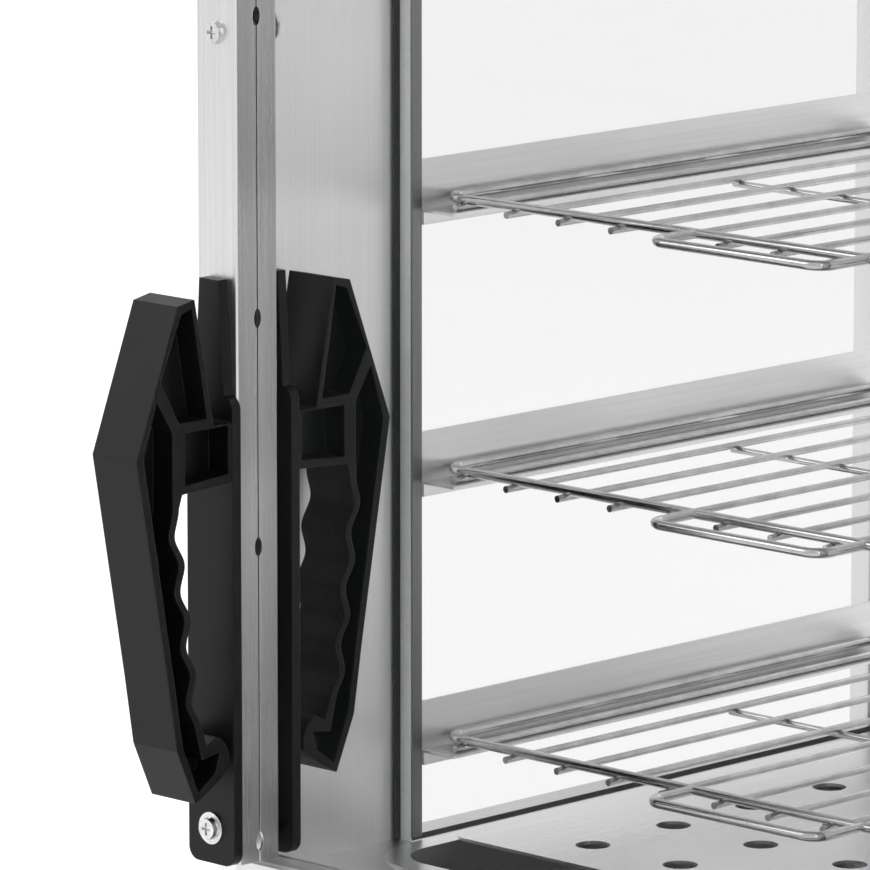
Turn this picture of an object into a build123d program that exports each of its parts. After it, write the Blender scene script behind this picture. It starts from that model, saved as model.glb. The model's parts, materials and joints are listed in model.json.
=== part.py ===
# Countertop display steam cabinet: a glass chamber with four sliding wire racks,
# a hinged glass door with a moulded handle on each face, a water base and a roof.
# Millimetres. X is to the right and +Y to the rear. Z = 0 is the counter.
import os
from math import cos, pi, sin

from build123d import *

os.makedirs("parts", exist_ok=True)

# Overall
cabinet_w = 460.0
cabinet_d = 460.0
foot_h = 20.0
base_h = 150.0
chamber_h = 545.0
roof_h = 48.0
sheet_t = 1.5
fit_gap = 0.3

# Chamber walls
post_t = 14.0
front_post_d = 112.0
rear_post_d = 30.0
pane_t = 8.0
pane_lap = 9.0
bead_w = 4.0
rear_pane_t = 6.0
rear_pane_inset = 8.0
rail_h = 15.0
rail_d = 14.0

# Shelf supports and racks
rack_count = 4
rack_pitch = 125.0
lowest_rack_z = 217.0
upright_w = 6.0
support_t = 1.2
flange_up = 18.0
flange_down = 12.0
ledge_w = 20.0
slot_l = 24.0
slot_w = 8.0
slot_count = 4
rack_d = 300.0
rack_setback = 12.0
rack_side_gap = 1.4
frame_wire_d = 4.5
grid_wire_d = 3.2
grid_wire_margin = 11.15
grid_wire_count = 13
wire_stub = 3.5
pull_l = 100.0
pull_out = 30.0
pull_corner_r = 8.0
weld_sink = 0.5

# Door
door_gap = 2.0
door_glass_t = 6.0
door_margin = 2.0
door_lap = 5.0
stile_w = 25.0
stile_t = 25.0
stile_sheet = 1.2
stile_bend_r = 1.6
stile_inset = 11.0
stile_l = 511.0
seam_gap = 0.8
seam_hole_w = 4.4
seam_hole_h = 8.4
seam_hole_end = 9.0
seam_hole_step = 133.0
seam_hole_gap = 102.0
screw_end = 16.0
screw_mid = 370.0
hinge_edge = 6.0
hinge_stand_off = 8.0
hinge_rail_w = 15.0
hinge_rail_t = 16.0
hinge_rail_r = 3.0
pin_d = 6.0
pin_l = 12.0
pin_clear = 0.06
hinge_gap = 0.5
hinge_plate_t = 3.0
hinge_plate_w = 22.0
hinge_flange_h = 26.0
hinge_screw_pitch = 12.0
catch_w = 5.0
catch_l = 40.0
catch_t = 0.9
catch_z = 650.0

# Moulded handle, measured out from its plate (u) and up from the plate's foot (v)
handle_w = 28.0
plate_t = 5.0
plate_l = 211.0
fin_l = 262.0
fin_foot_w = 20.0
fin_top_w = 12.0
plate_corner_r = 6.0
rim_t = 3.6
web_t = 3.0
elbow = (62.0, 190.0)
grip_waist = (44.0, 89.0)
grip_heel = (39.0, 58.0)
grip_toe = (28.0, 33.0)
crown_out = (37.0, 255.0)
crown_in = (27.0, 257.0)
arm_foot_u = 16.0
bar_low = 172.0
bar_high = 200.0
groove_count = 4
groove_depth = 4.2
wave_steps = 16
groove_top = (37.0, 166.0)
groove_end = (24.0, 66.0)
lip_tip_u = 8.0
lip_top_v = 60.0
handle_screw_d = 5.0
glass_hole_d = 8.0
seal_lip = 1.0
washer_d = 14.5
washer_t = 1.0
screw_head_d = 10.5
screw_head_h = 2.6
cross_l = 5.6
cross_w = 1.3
cross_depth = 1.6

# Base, tank and controls
deck_opening_w = 384.0
deck_opening_d = 320.0
tank_depth = 62.0
tank_flange = 10.0
tank_corner_r = 24.0
steam_plate_t = 1.5
fill_gap = 45.0
steam_hole_d = 16.0
steam_hole_pitch = 54.0
steam_hole_nx = 6
steam_hole_ny = 5
element_d = 8.5
element_span = 200.0
element_leg_pitch = 60.0
element_lift = 14.0
foot_d = 36.0
foot_inset = 45.0
control_z = 92.0
knob_x = 70.0
knob_d = 44.0
knob_h = 20.0
knob_gap = 0.6
flute_count = 11
flute_r = 4.5
flute_turn = 16.0
thermostat_w = 34.0
thermostat_d = 28.0
dial_d = 62.0
dial_t = 1.2
shaft_d = 6.0
shaft_l = 16.0
tick_count = 12
rocker_w = 14.0
rocker_h = 24.0
rocker_bezel = 3.0
rocker_tilt = 10.0
rocker_depth = 5.0
rocker_crown = 5.5
rocker_pin_d = 4.0
bezel_t = 1.5
bezel_depth = 20.0
power_x = -60.0
lamp_switch_x = -110.0
pilot_d = 9.0
pilot_x = 0.0
pilot_pitch = 26.0
drain_d = 20.0
drain_inset = 42.0
drain_z = 62.0
drain_reach = 44.0
drain_bore_d = 16.0
drain_wall_in = 26.0
valve_d = 30.0
valve_l = 26.0
stem_d = 8.0
lever_l = 46.0
lever_w = 10.0
lever_t = 3.0
lever_lift = 4.0
gland_x = -150.0
gland_d = 22.0
gland_reach = 24.0

# Roof
vent_d = 40.0
vent_h = 18.0
vent_cap_d = 60.0
vent_cap_h = 10.0
pipe_flange = 4.0
cap_lift = 8.0
cap_leg_w = 7.0
cap_leg_t = 2.0
bulb_d = 26.0
bulb_l = 34.0

# Derived places
handle_reach = elbow[0]
front_reach = door_gap + door_glass_t + stile_t + handle_reach
rear_reach = drain_reach
y0 = -(cabinet_d + rear_reach - front_reach) / 2
y1 = y0 + cabinet_d
half_w = cabinet_w / 2
wall_x = half_w - post_t
pane_x = wall_x - pane_t
base_top = foot_h + base_h
chamber_top = base_top + chamber_h
roof_top = chamber_top + roof_h
sill_top = base_top + rail_h
header_low = chamber_top - rail_h
door_z0 = sill_top - door_lap
door_z1 = header_low + door_lap
door_h = door_z1 - door_z0
door_mid_z = (door_z0 + door_z1) / 2
glass_back = y0 - door_gap
glass_front = glass_back - door_glass_t
stile_front = glass_front - stile_t
stile_mid_y = glass_front - stile_t / 2
stile_x = -wall_x + stile_inset + stile_w / 2
stile_z0 = door_mid_z - stile_l / 2
screw_low = stile_z0 + screw_end
screw_rows = (screw_low, stile_z0 + screw_mid, stile_z0 + stile_l - screw_end)
pane_y0 = y0 + front_post_d - pane_lap
pane_y1 = y1 - rear_post_d + pane_lap
support_y0 = pane_y0 + upright_w
support_y1 = pane_y1 - upright_w
rack_half = pane_x - support_t - rack_side_gap - frame_wire_d / 2
grid_wire_pitch = 2 * (rack_half - grid_wire_margin) / (grid_wire_count - 1)
rack_y0 = support_y0 + rack_setback
drain_x = deck_opening_w / 2 - drain_inset
hinge_x = half_w - door_margin - hinge_edge
hinge_y = glass_front - hinge_stand_off
deck_mid_y = (y0 + y1) / 2


def block(x_low, x_high, y_low, y_high, z_low, z_high):
    """Adds a plain block between two corners to the open part."""
    with Locations(((x_low + x_high) / 2, (y_low + y_high) / 2, (z_low + z_high) / 2)):
        Box(x_high - x_low, y_high - y_low, z_high - z_low)


def save(part, name):
    part.label = name
    export_step(part, f"parts/{name}.step")


# Base housing: a folded shell, open below, with a deck that carries the tank
with BuildPart() as base_housing:
    block(-half_w, half_w, y0, y1, foot_h + sheet_t, base_top)
    with BuildSketch(Plane.XY.offset(foot_h + sheet_t)):
        with Locations((0, deck_mid_y)):
            Rectangle(cabinet_w - 2 * sheet_t, cabinet_d - 2 * sheet_t)
    extrude(amount=base_h - 2 * sheet_t, mode=Mode.SUBTRACT)
    with BuildSketch(Plane.XY.offset(base_top)):
        with Locations((0, deck_mid_y)):
            RectangleRounded(deck_opening_w, deck_opening_d, tank_corner_r)
    extrude(amount=-2 * sheet_t, mode=Mode.SUBTRACT)
    with BuildSketch(Plane.XZ.offset(-y0)):
        with Locations((knob_x, control_z)):
            Circle(shaft_d / 2 + fit_gap)
        with Locations((power_x, control_z), (lamp_switch_x, control_z)):
            Rectangle(rocker_w + 2 * rocker_bezel - 2, rocker_h + 2 * rocker_bezel - 2)
        with Locations((pilot_x, control_z + pilot_pitch / 2), (pilot_x, control_z - pilot_pitch / 2)):
            Circle(pilot_d / 2 + fit_gap)
    extrude(amount=-2 * sheet_t, mode=Mode.SUBTRACT)
    with BuildSketch(Plane.XZ.offset(-y1)):
        with Locations((drain_x, drain_z)):
            Circle(drain_d / 2 + fit_gap)
        with Locations((gland_x, drain_z)):
            Circle(gland_d / 2 - 4 + fit_gap)
    extrude(amount=2 * sheet_t, mode=Mode.SUBTRACT)
save(base_housing.part, "base_housing")

with BuildPart() as bottom_plate:
    block(-half_w, half_w, y0, y1, foot_h, foot_h + sheet_t)
save(bottom_plate.part, "bottom_plate")

foot_spots = [
    (side * (half_w - foot_inset), y)
    for side in (-1, 1)
    for y in (y0 + foot_inset, y1 - foot_inset)
]
with BuildPart() as feet:
    with BuildSketch():
        with Locations(*foot_spots):
            Circle(foot_d / 2)
    extrude(amount=foot_h, taper=-6)
save(feet.part, "feet")

# Water tank: a drawn pan hung on the deck by its flange
tank_rear_in = deck_mid_y + deck_opening_d / 2 - fit_gap - sheet_t
with BuildPart() as water_tank:
    with BuildSketch(Plane.XY.offset(base_top)):
        with Locations((0, deck_mid_y)):
            RectangleRounded(
                deck_opening_w + 2 * tank_flange,
                deck_opening_d + 2 * tank_flange,
                tank_corner_r + tank_flange,
            )
    extrude(amount=sheet_t)
    with BuildSketch(Plane.XY.offset(base_top - tank_depth)):
        with Locations((0, deck_mid_y)):
            RectangleRounded(
                deck_opening_w - 2 * fit_gap, deck_opening_d - 2 * fit_gap, tank_corner_r - fit_gap
            )
    extrude(amount=tank_depth)
    with BuildSketch(Plane.XY.offset(base_top - tank_depth + sheet_t)):
        with Locations((0, deck_mid_y)):
            RectangleRounded(
                deck_opening_w - 2 * fit_gap - 2 * sheet_t,
                deck_opening_d - 2 * fit_gap - 2 * sheet_t,
                tank_corner_r - fit_gap - sheet_t,
            )
    extrude(amount=tank_depth, mode=Mode.SUBTRACT)
    with BuildSketch(Plane.XY.offset(base_top - tank_depth)):
        with Locations((drain_x, tank_rear_in - drain_wall_in)):
            Circle(drain_bore_d / 2)
    extrude(amount=2 * sheet_t, mode=Mode.SUBTRACT)
save(water_tank.part, "water_tank")

# Immersion heater: two rods joined by a bend, with its flange on the tank's rear wall
element_z = base_top - tank_depth + sheet_t + element_lift
element_bend_r = element_leg_pitch / 2
with BuildPart() as heating_element:
    with BuildLine() as element_path:
        Polyline(
            (-element_leg_pitch / 2, tank_rear_in, element_z),
            (-element_leg_pitch / 2, tank_rear_in - element_span, element_z),
        )
        ThreePointArc(
            (-element_leg_pitch / 2, tank_rear_in - element_span, element_z),
            (0, tank_rear_in - element_span - element_bend_r, element_z),
            (element_leg_pitch / 2, tank_rear_in - element_span, element_z),
        )
        Polyline(
            (element_leg_pitch / 2, tank_rear_in - element_span, element_z),
            (element_leg_pitch / 2, tank_rear_in, element_z),
        )
    with BuildSketch(Plane((-element_leg_pitch / 2, tank_rear_in, element_z), (1, 0, 0), (0, -1, 0))):
        Circle(element_d / 2)
    sweep()
    with BuildSketch(Plane.XZ.offset(-tank_rear_in)):
        with Locations((0, element_z)):
            SlotCenterToCenter(element_leg_pitch, 2 * element_d)
    extrude(amount=3)
save(heating_element.part, "heating_element")

# Perforated plate that lets the steam through; water is poured in through the gap before it
steam_w = deck_opening_w + tank_flange
steam_d = deck_opening_d + tank_flange / 2 - fill_gap
steam_mid_y = deck_mid_y + deck_opening_d / 2 + tank_flange / 2 - steam_d / 2
steam_z = base_top + sheet_t
with BuildPart() as steam_plate:
    with BuildSketch(Plane.XY.offset(steam_z)):
        with Locations((0, steam_mid_y)):
            RectangleRounded(steam_w, steam_d, tank_corner_r / 2)
            with GridLocations(steam_hole_pitch, steam_hole_pitch, steam_hole_nx, steam_hole_ny):
                Circle(steam_hole_d / 2, mode=Mode.SUBTRACT)
    extrude(amount=steam_plate_t)
save(steam_plate.part, "steam_plate")

# Chamber posts: folded sheet tubes
for side_name, side in (("left", -1), ("right", 1)):
    for end_name, y_low, y_high in (
        ("front", y0, y0 + front_post_d),
        ("rear", y1 - rear_post_d, y1),
    ):
        post_mid = (side * (wall_x + post_t / 2), (y_low + y_high) / 2)
        with BuildPart() as post:
            with BuildSketch(Plane.XY.offset(base_top)):
                with Locations(post_mid):
                    RectangleRounded(post_t, y_high - y_low, 2)
                    Rectangle(post_t - 2 * sheet_t, y_high - y_low - 2 * sheet_t, mode=Mode.SUBTRACT)
            extrude(amount=chamber_h)
        save(post.part, f"post_{end_name}_{side_name}")

    # Side pane on the posts' inner faces, with a black bead along each end
    x_out = side * wall_x
    x_in = side * pane_x
    with BuildPart() as side_pane:
        block(min(x_out, x_in), max(x_out, x_in), pane_y0, pane_y1, base_top, chamber_top)
        chamfer(side_pane.edges().filter_by(Axis.Z), 0.6)
    save(side_pane.part, f"side_glass_{side_name}")
    with BuildPart() as beads:
        for y_low in (pane_y0 - bead_w, pane_y1):
            block(min(x_out, x_in), max(x_out, x_in), y_low, y_low + bead_w, base_top, chamber_top)
        fillet(beads.edges().filter_by(Axis.Z).group_by(Axis.X)[0 if side > 0 else -1], 1.5)
    save(beads.part, f"glass_beads_{side_name}")


# Uprights that the shelf supports hang between
with BuildPart() as uprights:
    for x_low in (-pane_x, pane_x - support_t):
        for y_low in (pane_y0, pane_y1 - upright_w):
            block(x_low, x_low + support_t, y_low, y_low + upright_w, base_top + sheet_t, chamber_top)
save(uprights.part, "uprights")

# Hemmed, slotted supports on the side panes carry the racks
for n in range(rack_count):
    rack_z = lowest_rack_z + n * rack_pitch
    ledge_top = rack_z - frame_wire_d / 2 - grid_wire_d + weld_sink
    with BuildPart() as support:
        for side in (-1, 1):
            x_back, x_flange = sorted((side * pane_x, side * (pane_x - support_t)))
            x_front, x_hem = sorted((side * (pane_x - support_t), side * (pane_x - 2 * support_t)))
            x_low, x_high = sorted((side * (pane_x - 2 * support_t), side * (pane_x - ledge_w - support_t)))
            z_low = rack_z - flange_down
            block(x_back, x_flange, support_y0, support_y1, z_low, rack_z + flange_up)
            block(x_front, x_hem, support_y0, support_y1, z_low, ledge_top)
            block(x_low, x_high, support_y0, support_y1, ledge_top - support_t, ledge_top)
            with BuildSketch(Plane.XY.offset(ledge_top)):
                with Locations(((x_low + x_high) / 2, (support_y0 + support_y1) / 2)):
                    with GridLocations(0, (support_y1 - support_y0) / slot_count, 1, slot_count):
                        SlotOverall(slot_l, slot_w, rotation=90)
            extrude(amount=-2 * support_t, mode=Mode.SUBTRACT)
    save(support.part, f"shelf_supports_{n + 1}")

    # Wire rack: a frame ring with grid wires welded below it and a pull loop in front
    rack_y1 = rack_y0 + rack_d
    grid_z = rack_z - frame_wire_d / 2 - grid_wire_d / 2 + weld_sink
    corner_r = 2 * frame_wire_d
    with BuildPart() as rack:
        with BuildLine() as half_ring:
            FilletPolyline(
                (0, rack_y0, rack_z),
                (rack_half, rack_y0, rack_z),
                (rack_half, rack_y1, rack_z),
                (0, rack_y1, rack_z),
                radius=corner_r,
            )
        with BuildSketch(Plane((0, rack_y0, rack_z), (0, 1, 0), (1, 0, 0))):
            Circle(frame_wire_d / 2)
        sweep()
        mirror(about=Plane.YZ)
        with BuildSketch(Plane.XZ.offset(-(rack_y0 - frame_wire_d / 2 - wire_stub))):
            with Locations((0, grid_z)):
                with GridLocations(grid_wire_pitch, 0, grid_wire_count, 1):
                    Circle(grid_wire_d / 2)
        extrude(amount=-(rack_d + frame_wire_d + 2 * wire_stub))
        brace_half = grid_wire_pitch * (grid_wire_count - 3) / 2 + wire_stub
        with BuildSketch(Plane.YZ.offset(-brace_half)):
            with Locations((rack_y0 + rack_d / 2, grid_z - grid_wire_d + weld_sink)):
                Circle(grid_wire_d / 2)
        extrude(amount=2 * brace_half)
        with BuildLine() as pull:
            FilletPolyline(
                (-pull_l / 2, rack_y0, rack_z),
                (-pull_l / 2, rack_y0 - pull_out, rack_z),
                (pull_l / 2, rack_y0 - pull_out, rack_z),
                (pull_l / 2, rack_y0, rack_z),
                radius=pull_corner_r,
            )
        with BuildSketch(Plane((-pull_l / 2, rack_y0, rack_z), (1, 0, 0), (0, -1, 0))):
            Circle(frame_wire_d / 2)
        sweep()
    save(rack.part, f"rack_{n + 1}")

# Rear glass, with its rails and beads
rear_y1 = y1 - rear_pane_inset
rear_y0 = rear_y1 - rear_pane_t
with BuildPart() as rear_glass:
    block(-wall_x + bead_w, wall_x - bead_w, rear_y0, rear_y1, base_top, chamber_top)
save(rear_glass.part, "rear_glass")
with BuildPart() as rear_beads:
    for side in (-1, 1):
        x_mid = side * (wall_x - bead_w / 2)
        block(x_mid - bead_w / 2, x_mid + bead_w / 2, rear_y0, rear_y1, base_top, chamber_top)
save(rear_beads.part, "rear_beads")

# Door frame rails between the front posts
for rail_name, z_low in (("front_sill", base_top), ("front_header", header_low)):
    with BuildPart() as rail:
        block(-wall_x, wall_x, y0, y0 + rail_d, z_low, z_low + rail_h)
        chamfer(rail.edges().filter_by(Axis.X).group_by(Axis.Y)[-1], 1)
    save(rail.part, rail_name)

# Roof shell, open below, and the ceiling that closes the chamber
with BuildPart() as roof_shell:
    block(-half_w, half_w, y0, y1, chamber_top, roof_top)
    fillet(roof_shell.edges().group_by(Axis.Z)[-1], 5)
    with BuildSketch(Plane.XY.offset(chamber_top)):
        with Locations((0, deck_mid_y)):
            Rectangle(cabinet_w - 2 * sheet_t, cabinet_d - 2 * sheet_t)
    extrude(amount=roof_h - sheet_t, mode=Mode.SUBTRACT)
    with BuildSketch(Plane.XY.offset(roof_top)):
        with Locations((0, deck_mid_y)):
            Circle(vent_d / 2)
    extrude(amount=-2 * sheet_t, mode=Mode.SUBTRACT)
save(roof_shell.part, "roof_shell")

bulb_y = deck_mid_y - 90
with BuildPart() as ceiling:
    with BuildSketch(Plane.XY.offset(chamber_top)):
        with Locations((0, deck_mid_y)):
            Rectangle(cabinet_w - 2 * sheet_t - 2 * fit_gap, cabinet_d - 2 * sheet_t - 2 * fit_gap)
            Circle(vent_d / 2, mode=Mode.SUBTRACT)
        with Locations((0, bulb_y)):
            Circle(bulb_d / 2 - 2, mode=Mode.SUBTRACT)
    extrude(amount=sheet_t)
save(ceiling.part, "ceiling")

pipe_in_r = vent_d / 2 - fit_gap - sheet_t
with BuildPart() as vent_pipe:
    with BuildSketch(Plane.XY.offset(chamber_top + sheet_t)):
        with Locations((0, deck_mid_y)):
            Circle(vent_d / 2 + pipe_flange)
            Circle(pipe_in_r, mode=Mode.SUBTRACT)
    extrude(amount=sheet_t)
    with BuildSketch(Plane.XY.offset(chamber_top + sheet_t)):
        with Locations((0, deck_mid_y)):
            Circle(vent_d / 2 - fit_gap)
            Circle(pipe_in_r, mode=Mode.SUBTRACT)
    extrude(amount=roof_h + vent_h)
save(vent_pipe.part, "vent_pipe")

# Rain-hat cap, carried by three legs inside the pipe
cap_z = roof_top + vent_h + cap_lift
with BuildPart() as vent_cap:
    with BuildSketch(Plane.XZ.offset(-deck_mid_y)):
        with BuildLine():
            Polyline(
                (0, cap_z),
                (vent_cap_d / 2, cap_z),
                (vent_cap_d / 2, cap_z + 2),
                (0, cap_z + vent_cap_h),
                close=True,
            )
        make_face()
    revolve(axis=Axis((0, deck_mid_y, 0), (0, 0, 1)))
    with BuildSketch(Plane.XY.offset(roof_top - 6)):
        with Locations((0, deck_mid_y)):
            with PolarLocations(pipe_in_r, 3):
                Rectangle(3 * cap_leg_t, cap_leg_w)
            Circle(pipe_in_r, mode=Mode.INTERSECT)
            Circle(pipe_in_r - cap_leg_t, mode=Mode.SUBTRACT)
    extrude(amount=cap_z - roof_top + 7)
save(vent_cap.part, "vent_cap")

# Chamber lamp: a socket in the roof and a bulb below the ceiling
with BuildPart() as lamp_socket:
    with BuildSketch(Plane.XY.offset(chamber_top + sheet_t)):
        with Locations((0, bulb_y)):
            Circle(bulb_d / 2 + 4)
    extrude(amount=22)
save(lamp_socket.part, "lamp_socket")
with BuildPart() as lamp_bulb:
    with BuildSketch(Plane.XZ.offset(-bulb_y)):
        with BuildLine():
            Polyline(
                (0, chamber_top + sheet_t),
                (bulb_d / 2 - 3, chamber_top + sheet_t),
                (bulb_d / 2 - 3, chamber_top - 2),
                (bulb_d / 2, chamber_top - 6),
                (bulb_d / 2, chamber_top - bulb_l + bulb_d / 2),
            )
            ThreePointArc(
                (bulb_d / 2, chamber_top - bulb_l + bulb_d / 2),
                (bulb_d / 2 * sin(pi / 4), chamber_top - bulb_l + bulb_d / 2 - bulb_d / 2 * cos(pi / 4)),
                (0, chamber_top - bulb_l),
            )
            Line((0, chamber_top - bulb_l), (0, chamber_top + sheet_t))
        make_face()
    revolve(axis=Axis((0, bulb_y, 0), (0, 0, 1)))
save(lamp_bulb.part, "lamp_bulb")

# Door pane and the silicone strip that seals it on the posts and rails
with BuildPart() as door_glass:
    block(-half_w + door_margin, half_w - door_margin, glass_front, glass_back, door_z0, door_z1)
    chamfer(door_glass.edges(), 0.8)
    with BuildSketch(Plane.XZ.offset(-glass_front)):
        with Locations(*[(stile_x, z) for z in screw_rows]):
            Circle(glass_hole_d / 2)
    extrude(amount=-door_glass_t, mode=Mode.SUBTRACT)
save(door_glass.part, "door_glass")

with BuildPart() as door_seal:
    with BuildSketch(Plane.XZ.offset(-glass_back)):
        with Locations((0, door_mid_z)):
            Rectangle(2 * hinge_x - seal_lip, door_h - seal_lip)
            Rectangle(2 * (wall_x + seal_lip), door_h - 2 * door_lap + seal_lip, mode=Mode.SUBTRACT)
    extrude(amount=-(door_gap - fit_gap))
save(door_seal.part, "door_seal")

# Grip stile: two folded halves that meet in a seam, with lens-shaped reliefs along it
hole_rows = (
    stile_z0 + seam_hole_end,
    stile_z0 + seam_hole_end + seam_hole_step,
    stile_z0 + seam_hole_end + seam_hole_step + seam_hole_gap,
    stile_z0 + seam_hole_end + 2 * seam_hole_step + seam_hole_gap,
    stile_z0 + stile_l - seam_hole_end,
)
flange_l = (stile_t - seam_gap) / 2
for half_name, y_web, out in (("stile_outer_half", stile_front, 1), ("stile_inner_half", glass_front, -1)):
    y_tip = y_web + out * flange_l
    y_in = y_web + out * stile_sheet
    with BuildPart() as half:
        with BuildSketch(Plane.XY.offset(stile_z0)):
            with Locations((stile_x, (y_web + y_tip) / 2)):
                Rectangle(stile_w, flange_l)
        extrude(amount=stile_l)
        fillet(half.edges().filter_by(Axis.Z).group_by(Axis.Y)[0 if out > 0 else -1], stile_bend_r)
        with BuildSketch(Plane.XY.offset(stile_z0)):
            with Locations((stile_x, (y_in + y_tip) / 2)):
                Rectangle(stile_w - 2 * stile_sheet, flange_l - stile_sheet)
        extrude(amount=stile_l, mode=Mode.SUBTRACT)
        with BuildSketch(Plane.YZ.offset(stile_x)):
            with Locations(*[(stile_mid_y, z) for z in hole_rows]):
                Ellipse(seam_hole_w / 2, seam_hole_h / 2)
        extrude(amount=stile_w, mode=Mode.SUBTRACT)
        with BuildSketch(Plane.XZ.offset(-y_web)):
            with Locations(*[(stile_x, z) for z in screw_rows]):
                Circle(handle_screw_d / 2 + fit_gap)
        extrude(amount=-out * 2 * stile_sheet, mode=Mode.SUBTRACT)
    save(half.part, half_name)

# Hinge stile on the door's right edge, with a blind bore for a pin at each end
rail_x0 = hinge_x + hinge_edge - hinge_rail_w
with BuildPart() as hinge_stile:
    block(rail_x0, rail_x0 + hinge_rail_w, glass_front - hinge_rail_t, glass_front, door_z0, door_z1)
    fillet(hinge_stile.edges().filter_by(Axis.Z).group_by(Axis.Y)[0], hinge_rail_r)
    for z_end, up in ((door_z0, 1), (door_z1, -1)):
        with BuildSketch(Plane.XY.offset(z_end)):
            with Locations((hinge_x, hinge_y)):
                Circle(pin_d / 2 + pin_clear)
        extrude(amount=up * (pin_l + 2), mode=Mode.SUBTRACT)
save(hinge_stile.part, "hinge_stile")

# Hinge plates: an angle on the cabinet's front, with a pin into the hinge stile
plate_x0 = hinge_x + hinge_edge - hinge_plate_w
plate_x1 = hinge_x + hinge_edge
screw_x = (plate_x0 + plate_x1) / 2
for hinge_name, door_edge, up in (("hinge_top", door_z1, 1), ("hinge_bottom", door_z0, -1)):
    z_near = door_edge + up * hinge_gap
    z_far = z_near + up * hinge_plate_t
    z_end = z_near + up * hinge_flange_h
    with BuildPart() as hinge:
        block(plate_x0, plate_x1, hinge_y - pin_d, y0, min(z_near, z_far), max(z_near, z_far))
        block(plate_x0, plate_x1, y0 - hinge_plate_t, y0, min(z_near, z_end), max(z_near, z_end))
        with BuildSketch(Plane.XY.offset(z_near)):
            with Locations((hinge_x, hinge_y)):
                Circle(pin_d / 2)
        extrude(amount=-up * pin_l)
    save(hinge.part, hinge_name)

# Two low-headed screws on each hinge plate
with BuildPart() as hinge_screws:
    for door_edge, up in ((door_z1, 1), (door_z0, -1)):
        screw_z = door_edge + up * (hinge_gap + hinge_plate_t + hinge_flange_h) / 2
        with BuildSketch(Plane.XZ.offset(-(y0 - hinge_plate_t))):
            with Locations((screw_x, screw_z)):
                with GridLocations(hinge_screw_pitch, 0, 2, 1):
                    Circle(screw_head_d / 2 - 2)
        extrude(amount=screw_head_h - 1)
save(hinge_screws.part, "hinge_screws")

# Door catch: a magnet strip on the left post and its strike on the glass
catch_x0 = seal_lip / 2 - hinge_x - hinge_edge
catch_x1 = catch_x0 + catch_w
catch_top = catch_z + catch_l
with BuildPart() as catch_magnet:
    block(catch_x0, catch_x1, y0 - catch_t, y0, catch_z, catch_top)
save(catch_magnet.part, "catch_magnet")
with BuildPart() as catch_strike:
    block(catch_x0, catch_x1, glass_back, glass_back + catch_t, catch_z, catch_top)
save(catch_strike.part, "catch_strike")


def wave_point(share):
    """A point on the finger-grooved line, from its top (0) to its end (1)."""
    u = groove_top[0] + share * (groove_end[0] - groove_top[0])
    v = groove_top[1] + share * (groove_end[1] - groove_top[1])
    return (u + groove_depth * (1 - cos(2 * pi * groove_count * share)) / 2, v)


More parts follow.
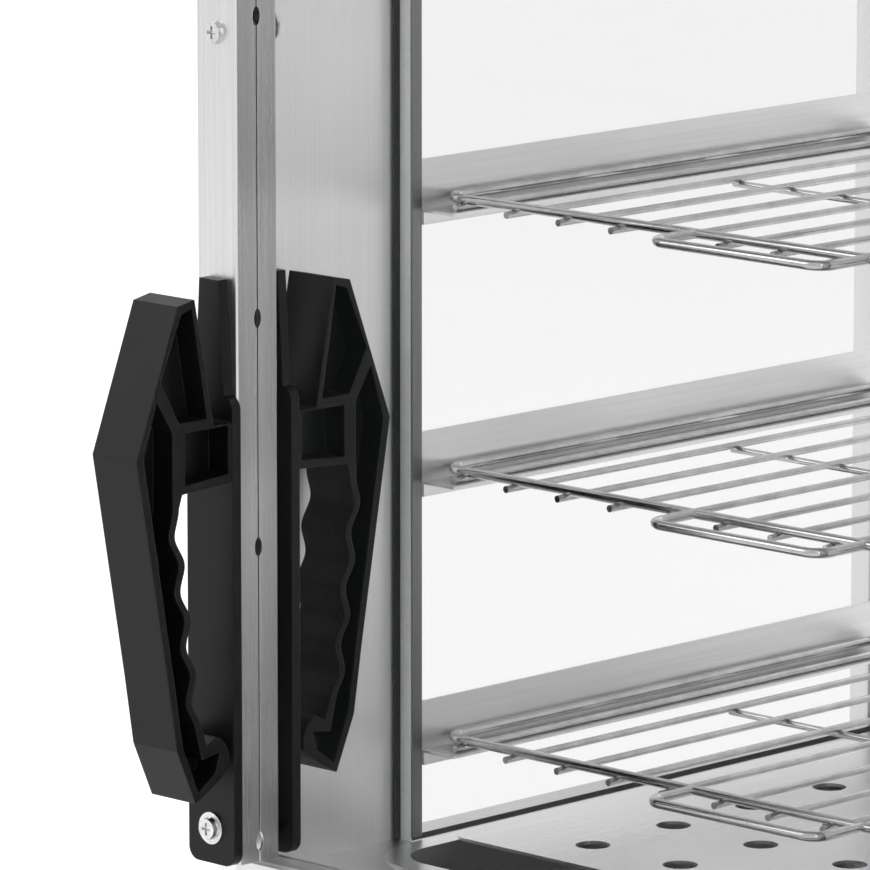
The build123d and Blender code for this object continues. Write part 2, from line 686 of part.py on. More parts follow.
def make_handle(face_y, out):
    """One moulding: a plate on a door face, a cross bar and a grooved, webbed grip."""
    # Sketches use (u, v) on a plane across the handle, with u pointing away from the door
    side_plane = Plane((stile_x, face_y, stile_z0), (0, out, 0), (out, 0, 0))
    plate_plane = Plane((stile_x, face_y, stile_z0), (-out, 0, 0), (0, out, 0))
    bar_reach = groove_top[0]
    wave = [wave_point(1 - k / wave_steps) for k in range(wave_steps + 1)]
    with BuildPart() as moulding:
        # Plate against the door, with a narrow fin rising above the cross bar
        with BuildSketch(plate_plane):
            with Locations((0, plate_l / 2)):
                RectangleRounded(handle_w + 1, plate_l, plate_corner_r)
            with BuildLine():
                Polyline(
                    (-fin_foot_w / 2, plate_l - 12),
                    (fin_foot_w / 2, plate_l - 12),
                    (fin_top_w / 2, fin_l),
                    (-fin_top_w / 2, fin_l),
                    close=True,
                )
            make_face()
        extrude(amount=plate_t)
        # Grip outline, closed along the finger grooves and the curled lip
        with BuildSketch(side_plane):
            with BuildLine():
                Polyline(
                    (plate_t - 1, bar_low + 2),
                    (plate_t - 1, bar_high),
                    (arm_foot_u, bar_high),
                    crown_in,
                    crown_out,
                    elbow,
                    grip_waist,
                    grip_heel,
                    grip_toe,
                    (grip_toe[0] - 14, grip_toe[1] + 8),
                    (lip_tip_u, lip_top_v - 14),
                )
                ThreePointArc(
                    (lip_tip_u, lip_top_v - 14),
                    (lip_tip_u + 1, lip_top_v - 4),
                    (lip_tip_u + 7, lip_top_v + 1),
                )
                Line((lip_tip_u + 7, lip_top_v + 1), (groove_end[0] - 3, lip_top_v - 2))
                Line((groove_end[0] - 3, lip_top_v - 2), wave_point(1))
                Spline(*wave)
                Line(wave_point(0), (bar_reach - 2, bar_low))
                Line((bar_reach - 2, bar_low), (plate_t - 1, bar_low + 2))
            make_face()
        extrude(amount=handle_w / 2, both=True)
        # Pockets cut from both faces, which leave a rim, a rib and a web
        pocket_depth = (handle_w - web_t) / 2
        for face in (-1, 1):
            pocket_plane = side_plane.offset(face * handle_w / 2)
            with BuildSketch(pocket_plane):
                # Upper pocket, between the inner arm, the crown and the rib
                with BuildLine():
                    Polyline(
                        (arm_foot_u + rim_t, bar_high + rim_t),
                        (crown_in[0] + 1.5, crown_in[1] - rim_t),
                        (crown_out[0] - 2, crown_out[1] - rim_t),
                        (crown_out[0] + 10.5, crown_out[1] - 32),
                        (bar_reach - 0.5, bar_high + rim_t),
                        close=True,
                    )
                make_face()
                # Cross-bar pocket
                with BuildLine():
                    Polyline(
                        (plate_t + 2, bar_low + rim_t + 2),
                        (plate_t + 2, bar_high - 1),
                        (bar_reach - rim_t, bar_high - 1),
                        (bar_reach - rim_t, bar_low + rim_t),
                        close=True,
                    )
                make_face()
                # Long outer pocket down the grip
                with BuildLine():
                    Polyline(
                        (crown_out[0] + 13, crown_out[1] - 40),
                        (elbow[0] - rim_t - 0.6, elbow[1]),
                        (grip_waist[0] - rim_t, grip_waist[1]),
                        (grip_heel[0] - rim_t, grip_heel[1] + 1),
                        (grip_toe[0] - rim_t + 2, grip_toe[1] + rim_t + 1),
                        (lip_tip_u + 8, lip_top_v - 15),
                        (lip_tip_u + 5, lip_top_v - 6),
                        (groove_end[0], lip_top_v - 8),
                    )
                    Line(
                        (groove_end[0], lip_top_v - 8),
                        (wave_point(1)[0] + rim_t, wave_point(1)[1]),
                    )
                    Spline(*[(u + rim_t, v) for u, v in wave])
                    Line((wave_point(0)[0] + rim_t, wave_point(0)[1]), (bar_reach + rim_t, bar_high))
                    Line((bar_reach + rim_t, bar_high), (crown_out[0] + 13, crown_out[1] - 40))
                make_face()
            extrude(amount=-face * pocket_depth, mode=Mode.SUBTRACT)
        # Screw hole near the plate's foot
        with BuildSketch(plate_plane):
            with Locations((0, screw_end)):
                Circle(handle_screw_d / 2 + fit_gap)
        extrude(amount=plate_t + 1, mode=Mode.SUBTRACT)
    return moulding.part


save(make_handle(stile_front, -1), "handle_outer")
save(make_handle(glass_back, 1), "handle_inner")

# Cross-headed screws on both faces of the stile, with washers on the handles and the glass
outer_screws = [(stile_front - plate_t - washer_t, -1, screw_low, 8 + plate_t)]
outer_screws += [(stile_front, -1, z, 8) for z in screw_rows[1:]]
inner_screws = [(glass_back + plate_t + washer_t, 1, screw_low, 3 + plate_t + door_glass_t)]
inner_screws += [(glass_back + washer_t, 1, z, 3 + door_glass_t) for z in screw_rows[1:]]
with BuildPart() as door_screws:
    for head_y, out, screw_z, shank_l in outer_screws + inner_screws:
        head_plane = Plane((stile_x, head_y, screw_z), (1, 0, 0), (0, out, 0))
        with BuildSketch(head_plane):
            Circle(screw_head_d / 2)
        extrude(amount=screw_head_h, taper=14)
        with BuildSketch(head_plane):
            Circle(handle_screw_d / 2)
        extrude(amount=-shank_l)
        with BuildSketch(head_plane.offset(screw_head_h)):
            Rectangle(cross_l, cross_w)
            Rectangle(cross_w, cross_l)
        extrude(amount=-cross_depth, mode=Mode.SUBTRACT)
save(door_screws.part, "door_screws")

with BuildPart() as door_washers:
    washer_spots = [(stile_front - plate_t, -1, screw_low), (glass_back + plate_t, 1, screw_low)]
    washer_spots += [(glass_back, 1, z) for z in screw_rows[1:]]
    for face_y, out, z in washer_spots:
        with BuildSketch(Plane((stile_x, face_y, z), (1, 0, 0), (0, out, 0))):
            Circle(washer_d / 2)
            Circle(handle_screw_d / 2 + fit_gap, mode=Mode.SUBTRACT)
        extrude(amount=washer_t)
save(door_washers.part, "door_washers")

# Thermostat: a body behind the panel, a graduated ring and a knob with its shaft
with BuildPart() as thermostat:
    block(
        knob_x - thermostat_w / 2,
        knob_x + thermostat_w / 2,
        y0 + sheet_t,
        y0 + sheet_t + thermostat_d,
        control_z - thermostat_w / 2,
        control_z + thermostat_w / 2,
    )
    fillet(thermostat.edges().filter_by(Axis.Y), 3)
    with BuildSketch(Plane.XZ.offset(-(y0 + sheet_t))):
        with Locations((knob_x, control_z)):
            Circle(shaft_d / 2 + pin_clear)
    extrude(amount=-(shaft_l + 2), mode=Mode.SUBTRACT)
save(thermostat.part, "thermostat")

with BuildPart() as dial:
    with BuildSketch(Plane.XZ.offset(-y0)):
        with Locations((knob_x, control_z)):
            Circle(dial_d / 2)
            Circle(shaft_d / 2 + fit_gap, mode=Mode.SUBTRACT)
    extrude(amount=dial_t)
    # Tick marks, three quarters of a turn
    with BuildSketch(Plane.XZ.offset(-(y0 - dial_t))):
        with Locations((knob_x, control_z)):
            with PolarLocations(dial_d / 2 - 3.5, tick_count, start_angle=-45, angular_range=270):
                Rectangle(3.5, 1)
    extrude(amount=-dial_t / 3, mode=Mode.SUBTRACT)
save(dial.part, "dial")

knob_back = y0 - dial_t - knob_gap
with BuildPart() as knob:
    with BuildSketch(Plane.XZ.offset(-knob_back)):
        with Locations((knob_x, control_z)):
            Circle(knob_d / 2)
    extrude(amount=knob_h * 0.3)
    with BuildSketch(Plane.XZ.offset(-(knob_back - knob_h * 0.3))):
        with Locations((knob_x, control_z)):
            Circle(knob_d / 2 - 3)
    extrude(amount=knob_h * 0.7, taper=5)
    fillet(knob.edges().group_by(Axis.Y)[0], 1.5)
    # Flutes round the grip and a pointer groove
    with BuildSketch(Plane.XZ.offset(-(knob_back - knob_h * 0.3))):
        with Locations((knob_x, control_z)):
            with PolarLocations(knob_d / 2, flute_count, start_angle=flute_turn):
                Circle(flute_r)
    extrude(amount=knob_h, mode=Mode.SUBTRACT)
    with BuildSketch(Plane.XZ.offset(-(knob_back - knob_h))):
        with Locations((knob_x, control_z + knob_d / 4)):
            Rectangle(1.6, knob_d / 2)
    extrude(amount=-1, mode=Mode.SUBTRACT)
    with BuildSketch(Plane.XZ.offset(-knob_back)):
        with Locations((knob_x, control_z)):
            Circle(shaft_d / 2)
    extrude(amount=-(dial_t + knob_gap + sheet_t + shaft_l))
save(knob.part, "knob")

# Two rocker switches: bezels with side walls that hold the rockers' pins
hole_w = rocker_w + 2 * rocker_bezel - 2
hole_h = rocker_h + 2 * rocker_bezel - 2
with BuildPart() as rocker_bezels:
    for switch_x in (power_x, lamp_switch_x):
        with BuildSketch(Plane.XZ.offset(-y0)):
            with Locations((switch_x, control_z)):
                RectangleRounded(rocker_w + 2 * rocker_bezel, rocker_h + 2 * rocker_bezel, 2)
        extrude(amount=bezel_t)
        with BuildSketch(Plane.XZ.offset(-y0)):
            with Locations((switch_x, control_z)):
                Rectangle(hole_w - 2 * fit_gap, hole_h - 2 * fit_gap)
        extrude(amount=-bezel_depth)
        with BuildSketch(Plane.XZ.offset(-(y0 - bezel_t))):
            with Locations((switch_x, control_z)):
                Rectangle(rocker_w, rocker_h + 2 * fit_gap)
        extrude(amount=-bezel_depth, mode=Mode.SUBTRACT)
        with BuildSketch(Plane.YZ.offset(switch_x - hole_w / 2)):
            with Locations((y0 + rocker_depth, control_z)):
                Circle(rocker_pin_d / 2 + pin_clear)
        extrude(amount=hole_w, mode=Mode.SUBTRACT)
save(rocker_bezels.part, "rocker_bezels")

tilt = rocker_tilt * pi / 180
for rocker_name, switch_x in (("rocker_power", power_x), ("rocker_lamp", lamp_switch_x)):
    # Drawn switched off: its upper end is pressed in
    rocker_plane = Plane(
        (switch_x, y0 + rocker_depth, control_z), (0, -cos(tilt), sin(tilt)), (-1, 0, 0)
    )
    tip_u = rocker_crown + rocker_h / 2 * sin(tilt)
    with BuildPart() as rocker:
        with BuildSketch(rocker_plane):
            Circle(rocker_h / 2)
            with BuildLine():
                Polyline(
                    (-rocker_crown, -rocker_h / 2),
                    (tip_u, -rocker_h / 2),
                    (rocker_crown, 0),
                    (tip_u, rocker_h / 2),
                    (-rocker_crown, rocker_h / 2),
                    close=True,
                )
            make_face(mode=Mode.INTERSECT)
        extrude(amount=rocker_w / 2 - fit_gap, both=True)
        with BuildSketch(rocker_plane):
            Circle(rocker_pin_d / 2)
        extrude(amount=hole_w / 2 - 2 * fit_gap, both=True)
    save(rocker.part, rocker_name)

# Pilot lamps: domed lenses with a collar on the panel
with BuildPart() as pilot_lamps:
    for pilot_z in (control_z + pilot_pitch / 2, control_z - pilot_pitch / 2):
        with BuildSketch(Plane.XZ.offset(-y0)):
            with Locations((pilot_x, pilot_z)):
                Circle(pilot_d / 2 + 1.5)
        extrude(amount=1.2)
        with BuildSketch(Plane.XZ.offset(-(y0 - 1.2))):
            with Locations((pilot_x, pilot_z)):
                Circle(pilot_d / 2 - 0.5)
        extrude(amount=2.5, taper=35)
        with BuildSketch(Plane.XZ.offset(-y0)):
            with Locations((pilot_x, pilot_z)):
                Circle(pilot_d / 2)
        extrude(amount=-14)
save(pilot_lamps.part, "pilot_lamps")

# Drain: a bent pipe under the tank, a ball valve behind the cabinet and its lever
tank_floor = base_top - tank_depth
pipe_y = tank_rear_in - drain_wall_in
valve_y = y1 + valve_l / 2
with BuildPart() as drain_pipe:
    with BuildLine():
        FilletPolyline(
            (drain_x, pipe_y, tank_floor), (drain_x, pipe_y, drain_z), (drain_x, y1, drain_z), radius=drain_d
        )
    with BuildSketch(Plane((drain_x, pipe_y, tank_floor), (1, 0, 0), (0, 0, -1))):
        Circle(drain_d / 2)
        Circle(drain_bore_d / 2, mode=Mode.SUBTRACT)
    sweep()
save(drain_pipe.part, "drain_pipe")

with BuildPart() as drain_valve:
    with BuildSketch(Plane.XZ.offset(-y1)):
        with Locations((drain_x, drain_z)):
            Circle(valve_d / 2)
    extrude(amount=-valve_l)
    with BuildSketch(Plane.XZ.offset(-(y1 + valve_l))):
        with Locations((drain_x, drain_z)):
            Circle(drain_d / 2)
    extrude(amount=-(drain_reach - valve_l))
    with BuildSketch(Plane.XY.offset(drain_z)):
        with Locations((drain_x, valve_y)):
            Circle(stem_d / 2 + lever_lift)
    extrude(amount=valve_d / 2 + lever_lift)
    with BuildSketch(Plane.XZ.offset(-y1)):
        with Locations((drain_x, drain_z)):
            Circle(drain_bore_d / 2)
    extrude(amount=-drain_reach, mode=Mode.SUBTRACT)
    with BuildSketch(Plane.XY.offset(drain_z)):
        with Locations((drain_x, valve_y)):
            Circle(stem_d / 2 + pin_clear)
    extrude(amount=valve_d, mode=Mode.SUBTRACT)
save(drain_valve.part, "drain_valve")

# Drawn shut: the ball's bore lies across the pipe, and so does the lever
lever_z = drain_z + valve_d / 2 + lever_lift + fit_gap
with BuildPart() as drain_lever:
    with Locations((drain_x, valve_y, drain_z)):
        Sphere(drain_bore_d / 2 - fit_gap)
    with BuildSketch(Plane.XY.offset(drain_z)):
        with Locations((drain_x, valve_y)):
            Circle(stem_d / 2)
    extrude(amount=lever_z - drain_z)
    with BuildSketch(Plane.YZ.offset(drain_x - drain_bore_d / 2)):
        with Locations((valve_y, drain_z)):
            Circle(drain_bore_d / 2 - 3)
    extrude(amount=drain_bore_d, mode=Mode.SUBTRACT)
    with BuildSketch(Plane.XY.offset(lever_z)):
        with Locations((drain_x - lever_l / 2 + lever_w / 2, valve_y)):
            SlotOverall(lever_l, lever_w)
    extrude(amount=lever_t)
    fillet(drain_lever.edges().group_by(Axis.Z)[-1], 1)
save(drain_lever.part, "drain_lever")

# Cord gland: a flanged bush through the rear panel; no cord is shown
with BuildPart() as cord_gland:
    with BuildSketch(Plane.XZ.offset(-y1)):
        with Locations((gland_x, drain_z)):
            Circle(gland_d / 2)
    extrude(amount=-gland_reach / 3)
    with BuildSketch(Plane.XZ.offset(-(y1 + gland_reach / 3))):
        with Locations((gland_x, drain_z)):
            Circle(gland_d / 2 - 3)
    extrude(amount=-gland_reach * 2 / 3, taper=6)
    with BuildSketch(Plane.XZ.offset(-y1)):
        with Locations((gland_x, drain_z)):
            Circle(gland_d / 2 - 4)
    extrude(amount=gland_reach / 2)
    with BuildSketch(Plane.XZ.offset(-(y1 - gland_reach / 2))):
        with Locations((gland_x, drain_z)):
            Circle(gland_d / 2 - 7)
    extrude(amount=-2 * gland_reach, mode=Mode.SUBTRACT)
save(cord_gland.part, "cord_gland")
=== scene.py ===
import json
import math

import bmesh
import bpy
from mathutils import Matrix, Vector


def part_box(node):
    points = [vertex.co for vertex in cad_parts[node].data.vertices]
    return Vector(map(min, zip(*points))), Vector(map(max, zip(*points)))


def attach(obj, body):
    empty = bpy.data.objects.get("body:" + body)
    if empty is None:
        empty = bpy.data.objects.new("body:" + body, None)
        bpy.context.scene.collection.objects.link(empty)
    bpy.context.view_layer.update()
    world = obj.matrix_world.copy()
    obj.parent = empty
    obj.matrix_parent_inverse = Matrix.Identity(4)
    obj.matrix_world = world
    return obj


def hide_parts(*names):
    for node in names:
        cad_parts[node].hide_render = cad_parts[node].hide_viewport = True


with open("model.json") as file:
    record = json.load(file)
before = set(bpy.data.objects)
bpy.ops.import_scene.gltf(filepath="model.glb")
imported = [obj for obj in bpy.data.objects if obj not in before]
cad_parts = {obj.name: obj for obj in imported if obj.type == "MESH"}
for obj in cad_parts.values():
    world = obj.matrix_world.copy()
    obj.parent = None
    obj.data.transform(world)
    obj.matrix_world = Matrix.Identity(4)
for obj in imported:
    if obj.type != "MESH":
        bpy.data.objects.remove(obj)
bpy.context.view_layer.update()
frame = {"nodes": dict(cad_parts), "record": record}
NODES = frame["nodes"]
SLOTS = {s["node"]: s["material_slot"] for s in frame["record"]["subparts"]}
SCENE = bpy.context.scene
SCENE.view_settings.view_transform = "Standard"


# ---------------------------------------------------------------- materials
MATERIALS = {}


class Mat:
    """A Principled material, kept in MATERIALS, with helpers that wire textures to it."""

    def __init__(self, name, color, metallic, roughness):
        self.mat = bpy.data.materials.new(name)
        self.mat.use_nodes = True
        self.tree = self.mat.node_tree
        self.bsdf = self.tree.nodes["Principled BSDF"]
        self.set("Base Color", (*color, 1))
        self.set("Metallic", metallic)
        self.set("Roughness", roughness)
        MATERIALS[name] = self

    def set(self, socket, value):
        self.bsdf.inputs[socket].default_value = value

    def to(self, socket, value):
        self.link(value, self.bsdf.inputs[socket])

    def link(self, a, b):
        self.tree.links.new(a, b)

    def node(self, kind, operation=None, data_type=None, **values):
        n = self.tree.nodes.new(kind)
        if operation:
            n.operation = operation
        if data_type:
            n.data_type = data_type
        for name, value in values.items():
            n.inputs[name].default_value = value
        return n

    def noise(self, scale, detail, roughness, stretch=(1, 1, 1)):
        """Noise in the object's own metres, closer together along the axes of a high stretch."""
        at = self.node("ShaderNodeTexCoord")
        mapping = self.node("ShaderNodeMapping", Scale=stretch)
        self.link(at.outputs["Object"], mapping.inputs["Vector"])
        n = self.node("ShaderNodeTexNoise", Scale=scale, Detail=detail, Roughness=roughness)
        self.link(mapping.outputs["Vector"], n.inputs["Vector"])
        return n.outputs["Fac"]

    def spread(self, fac, low, high, from_low=0.3, from_high=0.7):
        """Stretches the range from_low to from_high to low to high, and clamps the rest."""
        n = self.node("ShaderNodeMapRange")
        for name, value in (("From Min", from_low), ("From Max", from_high),
                            ("To Min", low), ("To Max", high)):
            n.inputs[name].default_value = value
        self.link(fac, n.inputs["Value"])
        return n.outputs["Result"]

    def fill(self, socket, value):
        """Sets a socket to a number or a colour, or links it to another node's output."""
        if isinstance(value, (int, float)):
            socket.default_value = value
        elif isinstance(value, tuple):
            socket.default_value = (*value, 1)
        else:
            self.link(value, socket)

    def math(self, operation, a, b=0.0):
        n = self.node("ShaderNodeMath", operation=operation)
        for socket, value in zip(n.inputs, (a, b)):
            self.fill(socket, value)
        return n.outputs["Value"]

    def mix(self, fac, a, b):
        n = self.node("ShaderNodeMix", data_type="RGBA")
        sockets = [s for s in n.inputs if s.enabled]
        for socket, value in zip(sockets, (fac, a, b)):
            self.fill(socket, value)
        return [s for s in n.outputs if s.enabled][0]

    def bump(self, height, distance, strength, edge=0.0):
        """Bump from a height, over normals that round every edge by the radius edge."""
        n = self.node("ShaderNodeBump", Strength=strength, Distance=distance)
        self.link(height, n.inputs["Height"])
        if edge:
            bevel = self.node("ShaderNodeBevel", Radius=edge)
            bevel.samples = 4
            self.link(bevel.outputs["Normal"], n.inputs["Normal"])
        self.to("Normal", n.outputs["Normal"])

    def facing(self, axis):
        """How far the true face looks along an axis, from -1 to 1."""
        geometry = self.node("ShaderNodeNewGeometry")
        split = self.node("ShaderNodeSeparateXYZ")
        self.link(geometry.outputs["True Normal"], split.inputs["Vector"])
        return split.outputs["XYZ".index(axis)]


def brushed(name, low, high, rough, stretch, edge=0.0, metallic=1.0):
    """Brushed metal: fine streaks along the sheet over a broad cloudiness."""
    m = Mat(name, high, metallic, rough)
    fine = m.noise(1.0, 4.0, 0.6, stretch)
    broad = m.noise(7.0, 3.0, 0.5)
    tone = m.math("ADD", m.math("MULTIPLY", fine, 0.6), m.math("MULTIPLY", broad, 0.4))
    m.to("Base Color", m.mix(m.spread(tone, 0, 1, 0.35, 0.65), low, high))
    m.to("Roughness", m.spread(tone, rough + 0.06, rough - 0.06))
    m.bump(fine, STREAK_DEPTH, 0.5, edge)


def stile_steel():
    """The folded stile: a light front web, and streaked flanges beside the seam whose darker colour
    is painted shade for the faces turned along X.
    """
    m = Mat("stile_steel", (0.7, 0.7, 0.7), 1.0, 0.3)
    fine = m.noise(1.0, 4.0, 0.6, ALONG_Z)
    broad = m.noise(1.0, 3.0, 0.5, (30, 30, 3))
    front = m.mix(m.spread(fine, 0, 1, 0.35, 0.65), (0.58, 0.58, 0.585), (0.65, 0.65, 0.655))
    # Painted shade: a darker colour for the flanges turned along X, with lighter brushed streaks
    # over it
    side = m.mix(m.spread(broad, 0, 1, 0.35, 0.65), (0.34, 0.34, 0.345), (0.46, 0.46, 0.465))
    streaks = m.math("MULTIPLY", m.spread(fine, 0, 1, 0.4, 0.7), 0.35)
    side = m.mix(streaks, side, (0.62, 0.62, 0.625))
    # Painted shade: faces turned along X take the darker flange colour, faces turned elsewhere the
    # light front colour
    painted_side_shade = m.math("ABSOLUTE", m.facing("X"))
    m.to("Base Color", m.mix(m.spread(painted_side_shade, 0, 1, 0.75, 0.95), front, side))
    m.to("Roughness", m.spread(fine, 0.36, 0.24))
    m.bump(fine, STREAK_DEPTH, 0.5, 0.0004)


def wire_chrome():
    """Chromed wire with a slightly uneven, worn shine."""
    m = Mat("wire_chrome", (0.72, 0.72, 0.73), 1.0, 0.12)
    wear = m.noise(60.0, 4.0, 0.6)
    m.to("Base Color", m.mix(m.spread(wear, 0, 1), (0.42, 0.42, 0.425), (0.58, 0.58, 0.585)))
    m.to("Roughness", m.spread(wear, 0.2, 0.09))
    m.bump(wear, 0.00006, 0.4)


def pane_glass(name, tint, clear, at_edge, ends):
    """Thin clear glass that gains body at a slant, with ground, mottled ends on two axes."""
    m = Mat(name, tint, 0.0, 0.03)
    weight = m.node("ShaderNodeLayerWeight", Blend=0.35)
    alpha = m.spread(weight.outputs["Facing"], clear, at_edge, 0.35, 1.0)
    grain = m.noise(420.0, 3.0, 0.7)
    blotch = m.noise(60.0, 4.0, 0.6)
    mottled = m.math("ADD", m.math("MULTIPLY", grain, 0.5), m.math("MULTIPLY", blotch, 0.5))
    near = [m.spread(m.math("ABSOLUTE", m.facing(axis)), 0, 1, 0.3, 0.6) for axis in ends]
    cut = m.math("MAXIMUM", *near)
    ground = m.mix(m.spread(mottled, 0, 1, 0.38, 0.62), (0.86, 0.88, 0.875), (0.97, 0.985, 0.98))
    m.to("Base Color", m.mix(cut, tint, ground))
    m.to("Roughness", m.spread(cut, 0.03, 0.45, 0, 1))
    m.to("Alpha", m.math("MAXIMUM", alpha, m.math("MULTIPLY", cut, 0.97)))
    m.bump(m.math("MULTIPLY", mottled, cut), 0.0002, 0.6)


def bulb_glass():
    m = Mat("bulb_glass", (0.97, 0.95, 0.88), 0.0, 0.25)
    haze = m.noise(90.0, 3.0, 0.6)
    m.to("Base Color", m.mix(m.spread(haze, 0, 1), (0.9, 0.88, 0.8), (0.98, 0.96, 0.9)))
    m.to("Roughness", m.spread(haze, 0.18, 0.32))
    m.set("Alpha", 0.75)


def moulded(name, low, high, rough, grain_scale=900.0, grain=0.00005, edge=0.0, coat=0.0,
            specular=0.5):
    """Moulded plastic or rubber: a fine grain, soft changes of sheen and tone, and a coat."""
    m = Mat(name, high, 0.0, rough)
    fine = m.noise(grain_scale, 2.0, 0.6)
    flow = m.noise(22.0, 4.0, 0.6, (1, 1, 0.5))
    m.to("Base Color", m.mix(m.spread(flow, 0, 1, 0.35, 0.65), low, high))
    m.to("Roughness", m.spread(flow, rough - 0.07, rough + 0.07))
    m.bump(m.math("ADD", fine, m.math("MULTIPLY", flow, 0.6)), grain, 0.6, edge)
    m.set("Specular IOR Level", specular)
    if coat:
        m.set("Coat Weight", coat)
        m.set("Coat Roughness", 0.08)


# Streaks run along the axis with the low number
ALONG_Z = (900, 900, 7)
ALONG_Y = (700, 7, 700)
LEVEL = (7, 7, 1100)
STREAK_DEPTH = 0.00004

brushed("housing_steel", (0.60, 0.60, 0.605), (0.70, 0.70, 0.70), 0.34, LEVEL)
brushed("post_steel", (0.80, 0.80, 0.805), (0.86, 0.86, 0.865), 0.42, ALONG_Z, metallic=0.9)
brushed("inner_steel", (0.80, 0.80, 0.805), (0.88, 0.88, 0.885), 0.3, ALONG_Y)
brushed("support_steel", (0.78, 0.78, 0.785), (0.86, 0.86, 0.865), 0.36, ALONG_Y, metallic=0.85)
# Painted shade: the uprights' steel gets a very dark colour in place of the dark reflection on
# their faces turned along X
brushed("upright_painted_shade_steel", (0.17, 0.17, 0.175), (0.24, 0.24, 0.245), 0.4, ALONG_Z)
brushed("heater_steel", (0.2, 0.17, 0.15), (0.42, 0.37, 0.32), 0.35, (60, 60, 60))
brushed("screw_steel", (0.5, 0.5, 0.51), (0.72, 0.72, 0.72), 0.2, (300, 300, 300), 0.0003)
brushed("dial_metal", (0.66, 0.66, 0.66), (0.78, 0.78, 0.78), 0.32, (500, 500, 500))
brushed("valve_brass", (0.52, 0.36, 0.13), (0.68, 0.5, 0.22), 0.26, (160, 160, 160))
stile_steel()
wire_chrome()
pane_glass("side_pane", (0.3, 0.32, 0.32), 0.1, 0.5, "YZ")
pane_glass("front_pane", (0.05, 0.06, 0.06), 0.045, 0.3, "XZ")
bulb_glass()
moulded("handle_plastic", (0.003, 0.003, 0.0033), (0.006, 0.006, 0.0065), 0.4,
        1400.0, 0.00003, 0.0009, specular=0.22)
moulded("knob_plastic", (0.012, 0.012, 0.012), (0.02, 0.02, 0.02), 0.38, 1400.0, 0.00003, 0.0004)
moulded("black_bead", (0.008, 0.008, 0.008), (0.014, 0.014, 0.014), 0.42, 600.0)
moulded("foot_rubber", (0.012, 0.012, 0.012), (0.028, 0.028, 0.028), 0.7, 500.0, 0.0001)
moulded("seal_silicone", (0.55, 0.55, 0.54), (0.66, 0.66, 0.65), 0.6, 400.0, 0.00008)
moulded("thermostat_plastic", (0.55, 0.52, 0.45), (0.68, 0.65, 0.58), 0.5)
moulded("rocker_red", (0.42, 0.012, 0.01), (0.55, 0.02, 0.016), 0.2, 900.0, 0.00001, 0.0003, 0.4)
moulded("rocker_green", (0.01, 0.2, 0.04), (0.02, 0.28, 0.06), 0.2, 900.0, 0.00001, 0.0003, 0.4)
moulded("pilot_amber", (0.75, 0.26, 0.02), (0.88, 0.36, 0.04), 0.14, 900.0, 0.00001, 0.0002, 0.6)
moulded("lever_paint", (0.42, 0.015, 0.012), (0.52, 0.025, 0.02), 0.26, 500.0, 0.00003, 0.0003, 0.3)

# Nodes whose finish differs from their slot's
SPECIAL = {
    # The uprights take the dark steel that is painted shade
    "uprights": "upright_painted_shade_steel",
    "side_glass_left": "side_pane", "side_glass_right": "side_pane",
    "rear_glass": "front_pane", "door_glass": "front_pane",
}
for end in ("front", "rear"):
    for side in ("left", "right"):
        SPECIAL[f"post_{end}_{side}"] = "post_steel"
for level in (1, 2, 3, 4):
    SPECIAL[f"shelf_supports_{level}"] = "support_steel"
for name, node in NODES.items():
    node.data.materials.clear()
    node.data.materials.append(MATERIALS[SPECIAL.get(name, SLOTS[name])].mat)


# ---------------------------------------------------------------- pieces
def new_piece(name, mesh, body, slot):
    """An object that rides on a body and takes its finish from a slot of the same name."""
    piece = bpy.data.objects.new(name, mesh)
    SCENE.collection.objects.link(piece)
    mesh.materials.append(MATERIALS[slot].mat)
    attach(piece, body)
    return piece


def bars(name, corners, round_by):
    """A mesh of upright or level bars, given by two corners each, with rounded edges."""
    bm = bmesh.new()
    for low, high in corners:
        low, high = Vector(low), Vector(high)
        place = Matrix.Translation((low + high) / 2) @ Matrix.Diagonal((*(high - low), 1))
        bmesh.ops.create_cube(bm, size=1.0, matrix=place)
    bmesh.ops.bevel(bm, geom=list(bm.edges), offset=round_by, segments=3, profile=0.5,
                    affect="EDGES")
    for face in bm.faces:
        face.smooth = True
    mesh = bpy.data.meshes.new(name)
    bm.to_mesh(mesh)
    bm.free()
    return mesh


# Slim black beads beside the ends of the side panes, so that the panes' ground ends show
BEAD_T = 0.0016
BEAD_ROUND = 0.0005
for side in ("left", "right"):
    low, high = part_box(f"glass_beads_{side}")
    pane_low, pane_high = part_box(f"side_glass_{side}")
    x0, x1 = (low.x, low.x + BEAD_T) if side == "left" else (high.x - BEAD_T, high.x)
    strips = [
        ((x0, low.y, low.z), (x1, pane_low.y, high.z)),
        ((x0, pane_high.y, low.z), (x1, high.y, high.z)),
    ]
    name = f"slim_beads_{side}"
    bead = new_piece(name, bars(name, strips, BEAD_ROUND), "cabinet", "black_bead")
    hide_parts(f"glass_beads_{side}")

# ---------------------------------------------------------------- camera
PHOTO_PX = 870.0
SENSOR_MM = 36.0
AZIMUTH = math.radians(44.5)
PITCH = math.radians(10.5)
FOCAL_PX = 7500.0
DISTANCE = 3.172
AIM_RIGHT, AIM_AHEAD, AIM_UP = -0.2085, -0.150, 0.4005

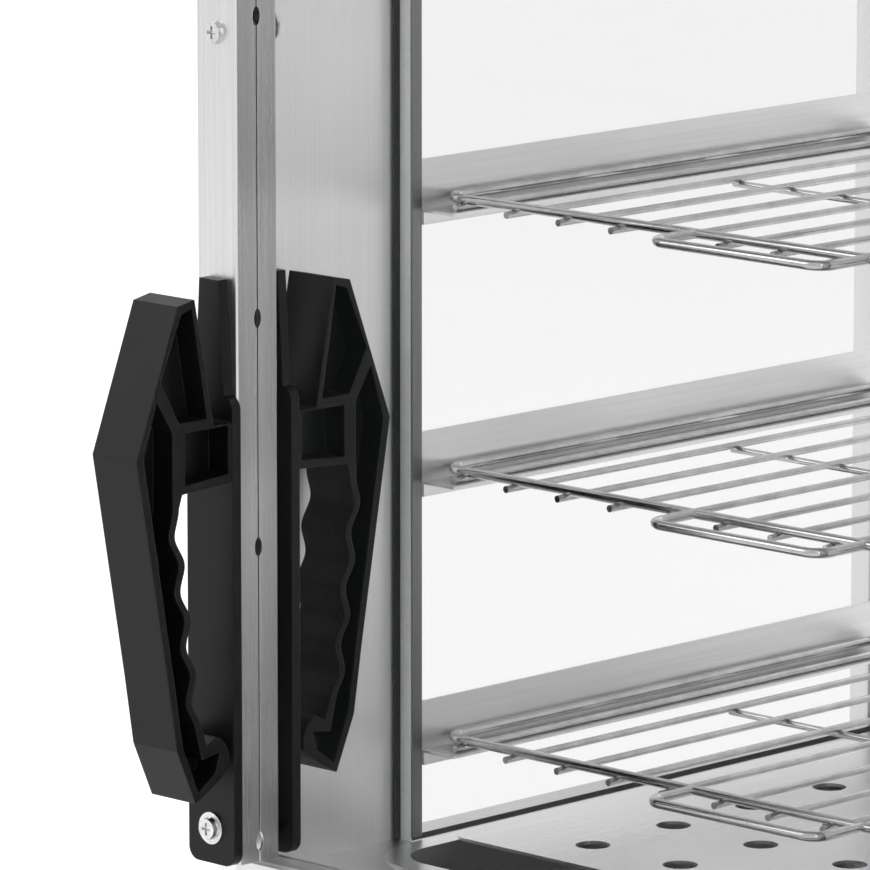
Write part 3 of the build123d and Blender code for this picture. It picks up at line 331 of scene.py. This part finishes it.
RIGHT = Vector((math.cos(AZIMUTH), math.sin(AZIMUTH), 0))
AHEAD = Vector((-math.sin(AZIMUTH), math.cos(AZIMUTH), 0))
UP = Vector((0, 0, 1))
LOOK = AHEAD * math.cos(PITCH) - UP * math.sin(PITCH)
TARGET = RIGHT * AIM_RIGHT + AHEAD * AIM_AHEAD + UP * AIM_UP
cam = bpy.data.objects.new("camera", bpy.data.cameras.new("camera"))
SCENE.collection.objects.link(cam)
cam.data.sensor_width = SENSOR_MM
cam.data.lens = FOCAL_PX / PHOTO_PX * SENSOR_MM
cam.data.clip_start = 0.05
cam.data.clip_end = 100.0
cam.location = TARGET - LOOK * DISTANCE
cam.rotation_mode = "QUATERNION"
cam.rotation_quaternion = LOOK.to_track_quat("-Z", "Y")
SCENE.camera = cam

# ---------------------------------------------------------------- studio
FLOOR_HALF = 12.0
FLOOR_GLOW = 0.55
WORLD_LIGHT = 0.62
WORLD_SEEN = 1.0
LAMP_AIM = Vector((0, 0, 0.4))
LAMPS = {  # place, width and height, watts
    "key": ((-1.6, -1.8, 1.7), (1.2, 1.2), 9),
    "fill": ((1.9, -1.2, 1.3), (1.0, 1.6), 8),
    "rear": ((-0.4, 2.2, 1.6), (1.6, 0.9), 4),
}


def background_ray(tree):
    """1 for a camera, glossy or transmission ray, which sees the white background."""
    path = tree.nodes.new("ShaderNodeLightPath")
    seen = path.outputs["Is Camera Ray"]
    for kind in ("Is Glossy Ray", "Is Transmission Ray"):
        larger = tree.nodes.new("ShaderNodeMath")
        larger.operation = "MAXIMUM"
        tree.links.new(seen, larger.inputs[0])
        tree.links.new(path.outputs[kind], larger.inputs[1])
        seen = larger.outputs["Value"]
    return seen


def studio_floor():
    bm = bmesh.new()
    bmesh.ops.create_grid(bm, x_segments=2, y_segments=2, size=FLOOR_HALF)
    mesh = bpy.data.meshes.new("floor")
    bm.to_mesh(mesh)
    bm.free()
    floor = bpy.data.objects.new("floor", mesh)
    SCENE.collection.objects.link(floor)
    m = Mat("floor_paper", (0.9, 0.9, 0.9), 0.0, 0.9)
    m.set("Emission Color", (1, 1, 1, 1))
    m.to("Emission Strength", m.math("MULTIPLY", background_ray(m.tree), FLOOR_GLOW))
    mesh.materials.append(m.mat)


def studio_world():
    world = bpy.data.worlds.new("studio")
    SCENE.world = world
    world.use_nodes = True
    tree = world.node_tree
    background = tree.nodes["Background"]
    strength = tree.nodes.new("ShaderNodeMapRange")
    strength.inputs["To Min"].default_value = WORLD_LIGHT
    strength.inputs["To Max"].default_value = WORLD_SEEN
    tree.links.new(background_ray(tree), strength.inputs["Value"])
    background.inputs["Color"].default_value = (1, 1, 1, 1)
    tree.links.new(strength.outputs["Result"], background.inputs["Strength"])


def area_light(name, place, size, power):
    data = bpy.data.lights.new(name, "AREA")
    data.shape = "RECTANGLE"
    data.size, data.size_y = size
    data.energy = power
    lamp = bpy.data.objects.new(name, data)
    SCENE.collection.objects.link(lamp)
    lamp.location = place
    lamp.rotation_mode = "QUATERNION"
    lamp.rotation_quaternion = (LAMP_AIM - Vector(place)).to_track_quat("-Z", "Y")


studio_floor()
studio_world()
for name, (place, size, power) in LAMPS.items():
    area_light(name, place, size, power)
